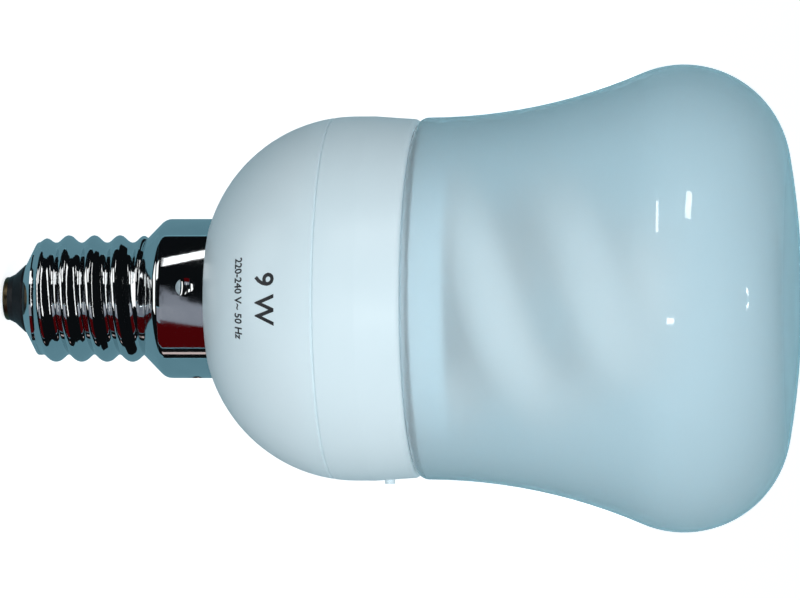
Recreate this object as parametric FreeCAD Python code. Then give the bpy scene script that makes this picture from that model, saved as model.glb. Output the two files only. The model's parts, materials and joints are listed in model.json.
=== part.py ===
"""Mushroom energy saving lamp with an E14 screw cap.

The lamp stands on its centre contact with its axis on +Z: screw cap, domed
ballast housing, tube holder ring, and the frosted bulb over a spiral tube.
All sizes are in millimetres.
"""
import FreeCAD
import Part
import math
import os

Vec = FreeCAD.Vector
ORIGIN = Vec(0, 0, 0)
UP = Vec(0, 0, 1)

# Sizes
# Whole lamp, measured up the axis from the centre contact
lamp_length = 87.0
seat_z = 23.5              # cap rim, where the domed housing begins
seam_z = 36.7              # joint between dome and holder ring
ring_top_z = 45.9

# E14 screw cap
cap_wall = 0.3
thread_pitch = 2.822
thread_crest_r = 6.9
thread_depth = 0.8
thread_phase = 0.1         # turns by which the first crest is moved up
thread_run_out = 1.1
thread_overlap = 1.0       # how far the thread runs up into the shoulder
nose_z = 2.75              # open end of the shell around the insulator
nose_r = 3.7
nose_slope = 0.54
skirt_r = 8.65
shoulder_z = 15.7          # where the shoulder leaves the thread root
shoulder_bend = 1.3
crimp_z = 21.6
crimp_ball_r = 1.4
crimp_depth = 0.5
crimp_angles = (82, 172, 262, 352)

# Domed housing
dome_r = 16.4
dome_wall = 1.3
seat_r = 8.75
neck_bore_r = 6.9
neck_end_z = 17.9

# Holder ring
ring_r = 19.7
plate_z = 41.2
plate_thickness = 1.4
spigot_r = 18.05
holder_bore_r = 17.0
spigot_end_z = 33.9
groove_gap = 0.4           # cement round the neck, in the ring's groove
cup_gap = 0.5              # between the cup and the spiral tube in it
cup_wall = 1.0
cup_top_z = 50.0

# Frosted bulb
bulb_r = 25.1
bulb_wall = 0.85
bulb_base_r = 19.55
neck_step = 1.35           # the neck is this much slimmer than the base
flare_z = 47.0
corner_r = 11.4
face_r = 92.0

# Spiral discharge tube
tube_r = 3.5
spiral_share = 0.5
spiral_offset = 0.825      # spiral radius is this plus its share of the base radius
spiral_lead = 23.0
tube_bend_r = 5.0
leg_end_z = 38.3
leg_top_z = 43.0
spiral_headroom = 20.0     # from the top of the spiral's axis to the lamp's face
leg_angle = 147.7

# Ballast board; the components hang from it towards the cap
board_r = 16.6
board_z = 35.2
board_thickness = 1.4
lead_r = 0.3
pin_r = 15.2
pin_angles = (128, 168, 308, 348)
post_angles = (58, 100, 228, 288)

joint_foot_r = 0.58
joint_neck_r = 0.36
joint_height = 0.7

# Smoothing capacitor, down the middle of the board
can_r = 4.0
can_x = -1.0
can_length = 13.3
can_gap = 0.3              # between a component and the board
can_leg = 1.75             # from the middle to a leg

# Choke
choke_x = 7.85
core_width = 4.6
core_depth = 10.0
core_height = 6.3
core_gap = 0.6
core_yoke = 1.4
core_leg = 2.6
bobbin_wall = 0.45
bobbin_flange = 0.4

# Drive transformer
toroid_x = -10.0
toroid_in = 2.6
toroid_out = 4.6
toroid_height = 3.4
toroid_gap = 1.2
coil_wire_r = 0.25
coil_starts = (50, 140, 235)
coil_turns = (3, 3, 4)
coil_step = 22

# Transistors
transistor_r = 2.3
transistor_flat = 1.4      # from the middle to the flat side
transistor_length = 4.4
transistor_gap = 3.2
transistor_x = 0.5
transistor_y = 9.0
transistor_leg = 1.27

# Rectifier diodes
diode_r = 1.3
diode_length = 5.0
diode_gap = 0.2
diode_place_r = 13.0
diode_leg = 3.4
diode_angles = (100, 136, -136, -100)

# Film capacitors
film_thickness = 3.5
film_width = 7.2
film_gap = 0.2
film_place_r = 12.2
film_leg = 2.5
resonant_height = 5.8
blocking_height = 5.4
film_angle = 50

# Ceramic disc capacitor
disc_r = 1.9
disc_thickness = 1.8
disc_x = 5.3
disc_y = 7.3
disc_drop = 3.6            # from the board down to the disc's middle
disc_leg = 1.25

# Axial components on end
standing_gap = 1.2
standing_turn = 1.0        # wire below the body, before it doubles back
resistor_r = 1.15
resistor_length = 5.0
resistor_places = ((-6.0, 6.2, 1), (-6.0, -6.2, 1), (-4.0, 9.4, -1), (-4.0, -9.4, -1))
diac_r = 0.9
diac_length = 3.4
diac_place = (5.0, -7.6, -1)

# Fuse resistor in the neck and the leads to the cap
fuse_r = 1.3
fuse_x = 4.9
fuse_z0 = 18.8
fuse_z1 = 24.6
fuse_foot = (3.2, 6.2)
sleeve_r = 0.6
sleeve_end_z = 13.4
shell_lead_r = 14.0

thread_root_r = thread_crest_r - thread_depth
bulb_neck_r = bulb_base_r - neck_step
groove_r = bulb_neck_r + groove_gap
spiral_r = bulb_base_r * spiral_share + spiral_offset
spiral_top_z = lamp_length - spiral_headroom
skirt_bore_r = skirt_r - cap_wall
board_top_z = board_z + board_thickness
plate_top_z = plate_z + plate_thickness
lead_end_z = board_top_z + 1.0

os.makedirs("parts", exist_ok=True)


# Small tools
def save(name, shape):
    """Write one finished piece into parts/."""
    shape.exportStep("parts/" + name + ".step")


def polar(radius, degrees, z=0.0):
    """Point at a radius and an angle around the lamp axis."""
    a = math.radians(degrees)
    return Vec(radius * math.cos(a), radius * math.sin(a), z)


def arc_between(start, end, centre):
    """Shorter arc about a centre, all three in one plane."""
    radius = (start - centre).Length
    middle = (start - centre) + (end - centre)
    middle.normalize()
    return Part.Arc(start, centre + middle * radius, end).toShape()


def turned(path):
    """Revolve an outline about the lamp axis.

    A step (r, z) is reached by a straight line, and a step (r, z, cr, cz)
    by an arc about (cr, cz). The last line goes back to the first point.
    """
    edges = []
    last = Vec(path[0][0], 0, path[0][1])
    for step in list(path[1:]) + [path[0][:2]]:
        point = Vec(step[0], 0, step[1])
        if len(step) == 4:
            edges.append(arc_between(last, point, Vec(step[2], 0, step[3])))
        else:
            edges.append(Part.makeLine(last, point))
        last = point
    return Part.Face(Part.Wire(edges)).revolve(ORIGIN, UP, 360)


def cylinder(radius, z0, z1, x=0.0, y=0.0):
    """Upright round bar."""
    return Part.makeCylinder(radius, z1 - z0, Vec(x, y, z0))


def sleeve(r_out, r_in, z0, z1, x=0.0, y=0.0):
    """Upright tube."""
    return cylinder(r_out, z0, z1, x, y).cut(cylinder(r_in, z0 - 1, z1 + 1, x, y))


def block(x0, x1, y0, y1, z0, z1):
    """Box between two corners."""
    return Part.makeBox(x1 - x0, y1 - y0, z1 - z0, Vec(x0, y0, z0))


def around(shape, degrees):
    """Copy of a shape turned about the lamp axis."""
    copy = shape.copy()
    copy.rotate(ORIGIN, UP, degrees)
    return copy


def fused(shapes):
    """Join a list of solids."""
    first = shapes[0]
    return first.fuse(shapes[1:]) if len(shapes) > 1 else first


def wire_path(points, bend):
    """Straight runs joined by tangent arcs at every corner."""
    edges = []
    start = points[0]
    for here, after in zip(points[1:-1], points[2:]):
        inward = (here - start).normalize()
        outward = (after - here).normalize()
        turn = inward.getAngle(outward)
        if turn < 1e-4:
            continue
        setback = bend * math.tan(turn / 2)
        arc_start = here - inward * setback
        arc_end = here + outward * setback
        to_centre = (outward - inward).normalize()
        centre = here + to_centre * (bend / math.cos(turn / 2))
        middle = centre - to_centre * bend
        if (arc_start - start).Length > 1e-6:
            edges.append(Part.makeLine(start, arc_start))
        edges.append(Part.Arc(arc_start, middle, arc_end).toShape())
        start = arc_end
    edges.append(Part.makeLine(start, points[-1]))
    return Part.Wire(edges)


def bent_wire(points, radius, bend):
    """Round wire along straight runs and tangent arcs."""
    heading = points[1] - points[0]
    end = Part.Wire([Part.makeCircle(radius, points[0], heading)])
    return wire_path(points, bend).makePipeShell([end], True, False)


# Screw cap
def knuckle(turns):
    """Height of the rolled thread above its root, from touching arcs."""
    flank = (thread_pitch / 4) ** 2 + (thread_depth / 2) ** 2
    arc_r = flank / thread_depth
    offset = abs(turns - round(turns)) * thread_pitch
    if offset <= thread_pitch / 4:
        return thread_depth - arc_r + math.sqrt(arc_r ** 2 - offset ** 2)
    offset = thread_pitch / 2 - offset
    return arc_r - math.sqrt(arc_r ** 2 - offset ** 2)


def ease(t):
    """Smooth step from 0 to 1."""
    t = max(0.0, min(1.0, t))
    return t * t * (3 - 2 * t)


def pole_gain(poles_per_turn):
    """How far a cubic curve stays inside the poles of a wave."""
    return 2 / 3 + math.cos(2 * math.pi / poles_per_turn) / 3


def skinned(columns):
    """Solid inside a smooth closed surface with two level, flat ends.

    Each column is a row of poles from one end to the other, and the
    columns go round the section.
    """
    count = len(columns)
    spans = list(range(len(columns[0]) - 2))
    ends = [4] + [1] * (len(spans) - 2) + [4]
    surface = Part.BSplineSurface()
    surface.buildFromPolesMultsKnots(columns, [1] * (count + 1), ends,
                                     list(range(count + 1)), spans, True, False, 3, 3)
    side = surface.toShape()
    rims = [e for e in side.Edges if e.BoundBox.ZLength < 1e-6]
    shell = Part.Shell([side] + [Part.Face(Part.Wire([e])) for e in rims])
    shell.sewShape()
    solid = Part.Solid(shell)
    if solid.Volume < 0:
        solid.reverse()
    return solid


def thread_skin(offset, z0, z1, overrun):
    """Solid bounded by the rolled thread surface and two flat ends."""
    around_count = 10
    rows_per_pitch = 8
    low, high = z0 - overrun, z1 + overrun
    rows = max(8, int((high - low) / thread_pitch * rows_per_pitch))
    swing = 1 / pole_gain(rows_per_pitch)
    columns = []
    for k in range(around_count):
        column = []
        for i in range(rows + 1):
            z = low + (high - low) * i / rows
            height = knuckle(z / thread_pitch - thread_phase - k / around_count)
            height = thread_depth / 2 + (height - thread_depth / 2) * swing
            height *= ease((z - z0) / thread_run_out) * ease((z1 - z) / thread_run_out)
            radius = (thread_root_r + offset + height) / pole_gain(around_count)
            column.append(polar(radius, 360 * k / around_count, z))
        columns.append(column)
    return skinned(columns)


def nose_height(radius):
    """Outer surface of the shell's nose, up from its open end."""
    return nose_z + nose_slope * (radius - nose_r)


nose_lift = cap_wall * math.hypot(1, nose_slope)
shoulder_lift = cap_wall * math.sqrt(2)
thread_mid_r = thread_root_r - cap_wall / 2
thread_z0 = nose_height(thread_mid_r) + nose_lift / 2
thread_z1 = shoulder_z + thread_overlap
nose_rim_r = thread_root_r + 0.05
shoulder_bore_r = thread_root_r - cap_wall - 0.05

nose = turned([
    (nose_r, nose_height(nose_r)),
    (nose_rim_r, nose_height(nose_rim_r)),
    (nose_rim_r, nose_height(nose_rim_r) + nose_lift),
    (nose_r, nose_height(nose_r) + nose_lift)])

bend_r = skirt_r - shoulder_bend
half = math.sqrt(0.5)
bend_z = shoulder_z + bend_r + shoulder_bend * half - thread_root_r + shoulder_bend * half
inner_bend = shoulder_bend - cap_wall
shoulder_foot_z = shoulder_z + shoulder_bore_r - thread_root_r
skirt_outside = turned([
    (0, shoulder_foot_z),
    (shoulder_bore_r, shoulder_foot_z),
    (bend_r + shoulder_bend * half, bend_z - shoulder_bend * half),
    (skirt_r, bend_z, bend_r, bend_z),
    (skirt_r, seat_z),
    (0, seat_z)])
skirt_inside = turned([
    (0, shoulder_foot_z + shoulder_lift),
    (shoulder_bore_r, shoulder_foot_z + shoulder_lift),
    (bend_r + inner_bend * half, bend_z - inner_bend * half),
    (skirt_bore_r, bend_z, bend_r, bend_z),
    (skirt_bore_r, seat_z + 1),
    (0, seat_z + 1)])
thread_outside = thread_skin(0.0, thread_z0, thread_z1, 0.0)
thread_inside = thread_skin(-cap_wall, thread_z0, thread_z1, 0.2)
thread_and_skirt = thread_outside.fuse(skirt_outside).cut([thread_inside, skirt_inside])

# Four punch marks hold the cap on the housing neck
crimp_r = skirt_r + crimp_ball_r - crimp_depth
crimp_reach = crimp_ball_r + cap_wall
crimp_balls = [Part.makeSphere(crimp_ball_r, polar(crimp_r, a, crimp_z)) for a in crimp_angles]
crimp_bumps = [Part.makeSphere(crimp_ball_r + cap_wall, polar(crimp_r, a, crimp_z))
               for a in crimp_angles]
inside_skirt = cylinder(skirt_r - cap_wall / 2, crimp_z - crimp_reach, crimp_z + crimp_reach)
screw_shell = nose.fuse(thread_and_skirt)
screw_shell = screw_shell.fuse([b.common(inside_skirt) for b in crimp_bumps])
screw_shell = screw_shell.cut(fused(crimp_balls))
save("screw_shell", screw_shell)

# Moulded black insulator: cone in front, disc behind the shell's nose
contact_z = 0.35           # flat of the centre contact
contact_r = 2.35
contact_thickness = 0.55
eyelet_r = 0.9
eyelet_bore_r = 0.6
insulator_front_z = contact_z + contact_thickness
insulator_back_r = thread_root_r - cap_wall - 0.2
insulator_top_z = 5.6
cap_insulator = turned([
    (eyelet_r, insulator_front_z),
    (contact_r + 0.05, insulator_front_z),
    (contact_r + 0.35, insulator_front_z + 0.6),
    (nose_r, nose_z - 0.15),
    (nose_r, nose_z + nose_lift),
    (insulator_back_r, nose_height(insulator_back_r) + nose_lift),
    (insulator_back_r, insulator_top_z - 0.4),
    (insulator_back_r - 0.8, insulator_top_z),
    (eyelet_r, insulator_top_z)])
save("cap_insulator", cap_insulator)

edge = 0.25
centre_contact = turned([
    (eyelet_bore_r, contact_z),
    (contact_r - edge, contact_z),
    (contact_r, contact_z + edge, contact_r - edge, contact_z + edge),
    (contact_r, insulator_front_z),
    (eyelet_r, insulator_front_z),
    (eyelet_r, insulator_front_z + 1.9),
    (eyelet_bore_r, insulator_front_z + 1.9)])
save("centre_contact", centre_contact)

# Domed housing
dome_centre_r = ring_r - dome_r
dome_centre_z = seat_z + math.sqrt(dome_r ** 2 - (seat_r - dome_centre_r) ** 2)


def dome_radius_at(z, arc_r):
    """Radius of one of the dome's two skins at a height."""
    return dome_centre_r + math.sqrt(arc_r ** 2 - (dome_centre_z - z) ** 2)


dome_bore = dome_r - dome_wall
neck_corner_z = dome_centre_z - math.sqrt(dome_bore ** 2 - (neck_bore_r - dome_centre_r) ** 2)
seam_chamfer = 0.18
seam_outer_r = dome_radius_at(seam_z - seam_chamfer, dome_r)
dome_shell = turned([
    (seat_r, seat_z),
    (seam_outer_r, seam_z - seam_chamfer, dome_centre_r, dome_centre_z),
    (seam_outer_r - seam_chamfer, seam_z),
    (spigot_r, seam_z),
    (spigot_r, spigot_end_z),
    (dome_radius_at(spigot_end_z, dome_bore), spigot_end_z),
    (neck_bore_r, neck_corner_z, dome_centre_r, dome_centre_z),
    (neck_bore_r, neck_end_z),
    (skirt_bore_r - 0.5, neck_end_z),
    (skirt_bore_r, neck_end_z + 1.2),
    (skirt_bore_r, seat_z)])

# Ledges that carry the board stand just inside the holder's spigot
ledge_r = holder_bore_r - 0.25
ledge_foot_z = spigot_end_z - 5.0
dome_inside = turned([
    (0, ledge_foot_z - 1),
    (dome_radius_at(ledge_foot_z - 1, dome_bore + 0.4), ledge_foot_z - 1),
    (dome_radius_at(spigot_end_z - 0.3, dome_bore + 0.4), spigot_end_z - 0.3,
     dome_centre_r, dome_centre_z),
    (ledge_r, spigot_end_z - 0.3),
    (ledge_r, board_z),
    (0, board_z)])
ledge = block(15.3, ring_r, -1.0, 1.0, ledge_foot_z, board_z).common(dome_inside)

# Latch windows take the beads of the spigot
latch_width = 5.0
latch_z = 35.0
latch_reach = 0.4
window = block(holder_bore_r, spigot_r + latch_reach + 0.05, -latch_width / 2 - 0.2,
               latch_width / 2 + 0.2, latch_z - 0.5, latch_z + 0.5)

# Slot in the neck's end for the lead that reaches the screw shell
shell_lead_angle = 330
shell_lead_z = 19.6
neck_slot = block(neck_bore_r - 1, skirt_bore_r + 1, -0.5, 0.5, neck_end_z - 1, shell_lead_z + 0.5)

dome_housing = fused([dome_shell] + [around(ledge, a) for a in (45, 135, 225, 315)])
dome_housing = dome_housing.cut(
    [around(window, a) for a in (0, 90, 180, 270)]
    + crimp_bumps + [around(neck_slot, shell_lead_angle)])
save("dome_housing", dome_housing)

# Tube holder
lip = 0.55
cup_r = spiral_r + tube_r + cup_gap
holder_shell = turned([
    (seam_outer_r - seam_chamfer, seam_z),
    (dome_radius_at(seam_z + seam_chamfer, dome_r), seam_z + seam_chamfer),
    (ring_r, dome_centre_z, dome_centre_r, dome_centre_z),
    (ring_r, plate_z),
    (ring_r - 0.3, ring_top_z - lip),
    (ring_r - 0.3 - lip, ring_top_z, ring_r - 0.3 - lip, ring_top_z - lip),
    (groove_r, ring_top_z - 0.15),
    (groove_r, plate_top_z),
    (cup_r + cup_wall, plate_top_z),
    (cup_r + cup_wall, cup_top_z),
    (cup_r, cup_top_z),
    (cup_r, plate_top_z),
    (0, plate_top_z),
    (0, plate_z),
    (holder_bore_r, plate_z),
    (holder_bore_r, spigot_end_z),
    (spigot_r - 0.4, spigot_end_z),
    (spigot_r, spigot_end_z + 0.5),
    (spigot_r, seam_z)])
latch_bead = turned([
    (holder_bore_r + 0.5, latch_z - 0.4),
    (spigot_r, latch_z - 0.4),
    (spigot_r + latch_reach, latch_z + 0.2),
    (spigot_r + latch_reach, latch_z + 0.4),
    (holder_bore_r + 0.5, latch_z + 0.4)])
latch_bead = latch_bead.common(block(holder_bore_r, ring_r, -latch_width / 2, latch_width / 2,
                                     latch_z - 1, latch_z + 1))
leg_angles = (leg_angle, leg_angle + 180)
hole_r = tube_r + 0.2
collars = []
leg_holes = []
for a in leg_angles:
    p = polar(spiral_r, a)
    collars.append(cylinder(hole_r + 0.9, plate_z, plate_top_z + 0.6, p.x, p.y))
    leg_holes.append(cylinder(hole_r, plate_z - 1, plate_top_z + 2, p.x, p.y))
posts = []
for a in post_angles:
    p = polar(14.5, a)
    posts.append(cylinder(1.2, board_top_z, plate_z + 0.3, p.x, p.y))
gate_nib = Part.makeCylinder(0.55, 0.65, Vec(ring_r - 0.3, 0, plate_top_z), Vec(1, 0, 0))
tube_holder = holder_shell.fuse(collars + posts + [gate_nib]
                                + [around(latch_bead, a) for a in (0, 90, 180, 270)])
tube_holder = tube_holder.cut(leg_holes)
save("tube_holder", tube_holder)

# Frosted bulb
corner_cr = bulb_r - corner_r
face_cz = lamp_length - face_r
corner_cz = face_cz + math.sqrt((face_r - corner_r) ** 2 - corner_cr ** 2)
flare_reach = bulb_base_r - corner_cr
flare_rise = corner_cz - flare_z
flare_r = (flare_reach ** 2 + flare_rise ** 2 - corner_r ** 2) / (2 * (corner_r - flare_reach))
flare_cr = bulb_base_r + flare_r
neck_bottom_z = plate_top_z + 0.2
step_z = ring_top_z - 1.0
step_r = bulb_base_r - bulb_neck_r
step_arc = ((flare_z - step_z) ** 2 + step_r ** 2) / (4 * step_r)


def bulb_outline(inset):
    """Neck, step, flare, corner and face of the bulb, moved in by inset."""
    mid = Vec((bulb_neck_r + bulb_base_r) / 2, 0, (step_z + flare_z) / 2)
    low = Vec(bulb_neck_r + step_arc, 0, step_z)
    high = Vec(bulb_base_r - step_arc, 0, flare_z)
    mid = mid + (mid - low).normalize() * inset
    joint = Vec(corner_cr - flare_cr, 0, corner_cz - flare_z).normalize() * (flare_r + inset)
    shoulder = Vec(corner_cr, 0, corner_cz - face_cz).normalize() * (face_r - inset)
    return [
        (bulb_neck_r - inset, neck_bottom_z),
        (bulb_neck_r - inset, step_z),
        (mid.x, mid.z, low.x, low.z),
        (bulb_base_r - inset, flare_z, high.x, high.z),
        (flare_cr + joint.x, flare_z + joint.z, flare_cr, flare_z),
        (shoulder.x, face_cz + shoulder.z, corner_cr, corner_cz),
        (0, lamp_length - inset, 0, face_cz)]


outer = bulb_outline(0)
inner = bulb_outline(bulb_wall)
solid_outer = turned(outer + [(0, neck_bottom_z)])
solid_inner = turned([(inner[0][0], neck_bottom_z - 1)] + inner[1:] + [(0, neck_bottom_z - 1)])
save("frosted_bulb", solid_outer.cut(solid_inner))

bulb_cement = turned([
    (bulb_neck_r - bulb_wall, plate_top_z),
    (groove_r, plate_top_z),
    (groove_r, step_z),
    (bulb_neck_r, step_z),
    (bulb_neck_r, neck_bottom_z),
    (bulb_neck_r - bulb_wall, neck_bottom_z)])
save("bulb_cement", bulb_cement)

# Spiral tube
rise = spiral_lead / (2 * math.pi * spiral_r)
slope = math.atan(rise)
bend_turn = math.pi / 2 - slope
bend_run = tube_bend_r * (1 - math.cos(bend_turn))
bend_rise = tube_bend_r * math.sin(bend_turn)
spiral_z = leg_top_z + bend_rise
spiral_start = math.radians(leg_angle) + bend_run / spiral_r
spiral_turn = (spiral_top_z - spiral_z) / spiral_lead * 2 * math.pi
cross_r = spiral_r / 2
cross_length = math.pi * cross_r


def half_tube():
    """Stations of one strand as (centre, radius), from its closed leg up."""
    stations = []
    for lift, share in ((0, 0.45), (0.15, 0.75), (0.7, 0.97)):
        stations.append((polar(spiral_r, leg_angle, leg_end_z + lift), tube_r * share))
    straight_z = leg_end_z + 1.4
    for i in range(4):
        z = straight_z + (leg_top_z - straight_z) * i / 4
        stations.append((polar(spiral_r, leg_angle, z), tube_r))
    for i in range(5):
        turn = bend_turn * i / 5
        run = tube_bend_r * (1 - math.cos(turn))
        z = leg_top_z + tube_bend_r * math.sin(turn)
        stations.append((polar(spiral_r, leg_angle + math.degrees(run / spiral_r), z), tube_r))
    steps = 14
    pole_r = spiral_r / pole_gain(steps * 2 * math.pi / spiral_turn)
    for i in range(steps):
        angle = math.degrees(spiral_start + spiral_turn * i / steps)
        z = spiral_z + (spiral_top_z - spiral_z) * i / steps
        stations.append((polar(pole_r, angle, z), tube_r))
    end = math.degrees(spiral_start + spiral_turn)
    centre = polar(cross_r, end)
    cross_steps = 7
    for i in range(cross_steps):
        part = i / cross_steps
        z = spiral_top_z + rise * cross_length * part * (1 - part / 2)
        stations.append((centre + polar(cross_r, end + 180 * part, z), tube_r))
    return stations


half_way = half_tube()
top = Vec(0, 0, spiral_top_z + rise * cross_length / 2)
stations = half_way + [(top, tube_r)]
stations += [(Vec(-p.x, -p.y, p.z), r) for p, r in reversed(half_way)]
section_poles = 8
tube_columns = [[] for k in range(section_poles)]
side_way = polar(1, leg_angle)
for i, (point, radius) in enumerate(stations):
    ahead = stations[min(i + 1, len(stations) - 1)][0]
    behind = stations[max(i - 1, 0)][0]
    heading = (ahead - behind).normalize()
    side_way = (side_way - heading * side_way.dot(heading)).normalize()
    other_way = heading.cross(side_way)
    pole_r = radius / pole_gain(section_poles)
    for k, column in enumerate(tube_columns):
        a = 2 * math.pi * k / section_poles
        column.append(point + side_way * (pole_r * math.cos(a)) + other_way * (pole_r * math.sin(a)))
save("spiral_tube", skinned(tube_columns))

tube_cement = []
for a in leg_angles:
    p = polar(spiral_r, a)
    bead = sleeve(tube_r + 1.7, tube_r + 0.02, plate_z - 1.0, plate_z, p.x, p.y)
    tube_cement.append(bead.common(cylinder(holder_bore_r, plate_z - 1.0, plate_z)))
save("tube_cement", Part.makeCompound(tube_cement))

# Circuit board
solder_points = []


def lead_up(x, y, z0):
    """Straight lead from a component through the board; notes its joint."""
    solder_points.append((x, y))
    return cylinder(lead_r, z0, lead_end_z, x, y)


# Smoothing capacitor hangs down the middle into the housing neck
can_z1 = board_z - can_gap
can_z0 = can_z1 - can_length
groove_z = can_z1 - 1.6
can = cylinder(can_r, can_z0, can_z1, can_x, 0)
can = can.makeFillet(0.5, [e for e in can.Edges if isinstance(e.Curve, Part.Circle)])
crimp_groove = Part.makeTorus(can_r + 0.25, 0.55, Vec(can_x, 0, groove_z))
can_leads = [lead_up(can_x + s * can_leg, 0, can_z1 - 0.5) for s in (-1, 1)]
save("smoothing_capacitor", can.cut(crimp_groove).fuse(can_leads))

# Choke: ferrite frame, bobbin on its middle leg, winding, pins
core_half = core_width / 2
leg_half = core_leg / 2
core_z1 = board_z - core_gap
core_z0 = core_z1 - core_height
window_z0 = core_z0 + core_yoke
window_z1 = core_z1 - core_yoke
core_frame = block(choke_x - core_half, choke_x + core_half, -core_depth / 2, core_depth / 2,
                   core_z0, core_z1)
window_y0 = leg_half
window_y1 = core_depth / 2 - leg_half
core_windows = [block(choke_x - core_width, choke_x + core_width, *sorted((s * window_y0, s * window_y1)),
                      window_z0, window_z1) for s in (-1, 1)]
save("choke_core", core_frame.cut(core_windows))

bobbin_half_x = core_half + bobbin_wall
bobbin_half_y = leg_half + bobbin_wall
flange_half_x = core_half + 1.8
flange_half_y = window_y1 - 0.1
rail_x = flange_half_x - 0.75
bobbin = block(choke_x - bobbin_half_x, choke_x + bobbin_half_x, -bobbin_half_y, bobbin_half_y,
               window_z0, window_z1)
flanges = [block(choke_x - flange_half_x, choke_x + flange_half_x, -flange_half_y, flange_half_y,
                 z, z + bobbin_flange) for z in (window_z0, window_z1 - bobbin_flange)]
rails = [block(x - 0.75, x + 0.75, -4.5, 4.5, window_z1 - bobbin_flange, board_z)
         for x in (choke_x - rail_x, choke_x + rail_x)]
leg_space = block(choke_x - core_half, choke_x + core_half, -leg_half, leg_half,
                  window_z0 - 1, window_z1 + 1)
choke_pins = []
pin_bores = []
for x in (choke_x - rail_x, choke_x + rail_x):
    for y in (-3.2, 3.2):
        choke_pins.append(lead_up(x, y, window_z1 + 0.3))
        pin_bores.append(cylinder(lead_r, window_z1 + 0.3, board_z + 1, x, y))
save("choke_bobbin", bobbin.fuse(flanges + rails).cut([leg_space] + pin_bores))
save("choke_pins", Part.makeCompound(choke_pins))

coil_half_x = flange_half_x - 0.2
coil_half_y = flange_half_y - 0.2
coil = block(choke_x - coil_half_x, choke_x + coil_half_x, -coil_half_y, coil_half_y,
             window_z0 + bobbin_flange, window_z1 - bobbin_flange)
coil = coil.makeFillet(1.5, [e for e in coil.Edges if e.BoundBox.ZLength > 1])
coil_bore = block(choke_x - bobbin_half_x, choke_x + bobbin_half_x, -bobbin_half_y, bobbin_half_y,
                  window_z0, window_z1)
save("choke_winding", coil.cut(coil_bore))

# Drive transformer: ferrite toroid with three windings
toroid_z1 = board_z - toroid_gap
toroid_z0 = toroid_z1 - toroid_height
toroid = turned([(toroid_in, toroid_z0), (toroid_out, toroid_z0),
                 (toroid_out, toroid_z1), (toroid_in, toroid_z1)])
toroid = toroid.makeFillet(0.35, toroid.Edges)
toroid.translate(Vec(toroid_x, 0, 0))
save("toroid_core", toroid)

gap = coil_wire_r + 0.02


def toroid_coil(first_angle, turns):
    """Wire wound round the toroid's section, both ends up to the board."""
    centre = Vec(toroid_x, 0, 0)
    step = coil_step
    r_in, r_out = toroid_in - gap, toroid_out + gap
    low, high = toroid_z0 - gap, toroid_z1 + gap
    points = [centre + polar(r_out, first_angle - step / 2, lead_end_z)]
    points.append(centre + polar(r_out, first_angle - step / 2, low))
    for i in range(turns):
        a = first_angle + step * i
        points.append(centre + polar(r_in, a, low))
        points.append(centre + polar(r_in, a, high))
        points.append(centre + polar(r_out, a + step / 2, high))
        if i < turns - 1:
            points.append(centre + polar(r_out, a + step / 2, low))
    last = first_angle + step * (turns - 0.5)
    points[-1] = centre + polar(r_out + 0.1, last, high)
    points.append(centre + polar(r_out + 0.1, last, lead_end_z))
    for p in (points[0], points[-1]):
        solder_points.append((p.x, p.y))
    return bent_wire(points, coil_wire_r, 0.3)


toroid_windings = [toroid_coil(*w) for w in zip(coil_starts, coil_turns)]
save("toroid_windings", Part.makeCompound(toroid_windings))

# Two transistors, flat sides to the middle
transistor_z1 = board_z - transistor_gap
transistor_z0 = transistor_z1 - transistor_length
for n, side in ((1, 1), (2, -1)):
    y = side * transistor_y
    flat_y = y - side * transistor_flat
    body = cylinder(transistor_r, transistor_z0, transistor_z1, transistor_x, y)
    flat = block(transistor_x - 2 * transistor_r, transistor_x + 2 * transistor_r,
                 *sorted((flat_y, flat_y - side * 2 * transistor_r)),
                 transistor_z0 - 1, transistor_z1 + 1)
    legs = [lead_up(transistor_x + s * transistor_leg, y, transistor_z1 - 0.5) for s in (-1, 0, 1)]
    save("transistor_%d" % n, body.cut(flat).fuse(legs))

# Four rectifier diodes lie along the edge of the board
diode_z = board_z - diode_r - diode_gap
for n, angle in enumerate(diode_angles, 1):
    body = Part.makeCylinder(diode_r, diode_length, Vec(diode_place_r, -diode_length / 2, diode_z),
                             Vec(0, 1, 0))
    body = body.makeFillet(0.3, [e for e in body.Edges if isinstance(e.Curve, Part.Circle)])
    ends = [Vec(diode_place_r, y, 0) for y in (-diode_leg, diode_leg)]
    wire = bent_wire([ends[0] + UP * lead_end_z, ends[0] + UP * diode_z,
                      ends[1] + UP * diode_z, ends[1] + UP * lead_end_z], lead_r, 0.6)
    for end in ends:
        p = around(Part.Vertex(end), angle).Point
        solder_points.append((p.x, p.y))
    save("rectifier_diode_%d" % n, around(body.fuse(wire), angle))

# Film capacitors stand beside the choke
film_z1 = board_z - film_gap
for name, angle, height in (("resonant_capacitor", film_angle, resonant_height),
                            ("blocking_capacitor", -film_angle, blocking_height)):
    body = block(film_place_r - film_thickness / 2, film_place_r + film_thickness / 2,
                 -film_width / 2, film_width / 2, film_z1 - height, film_z1)
    body = body.makeFillet(0.5, body.Edges)
    legs = []
    for y in (-film_leg, film_leg):
        legs.append(cylinder(lead_r, film_z1 - 0.6, lead_end_z, film_place_r, y))
        p = around(Part.Vertex(film_place_r, y, 0), angle).Point
        solder_points.append((p.x, p.y))
    save(name, around(body.fuse(legs), angle))

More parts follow.
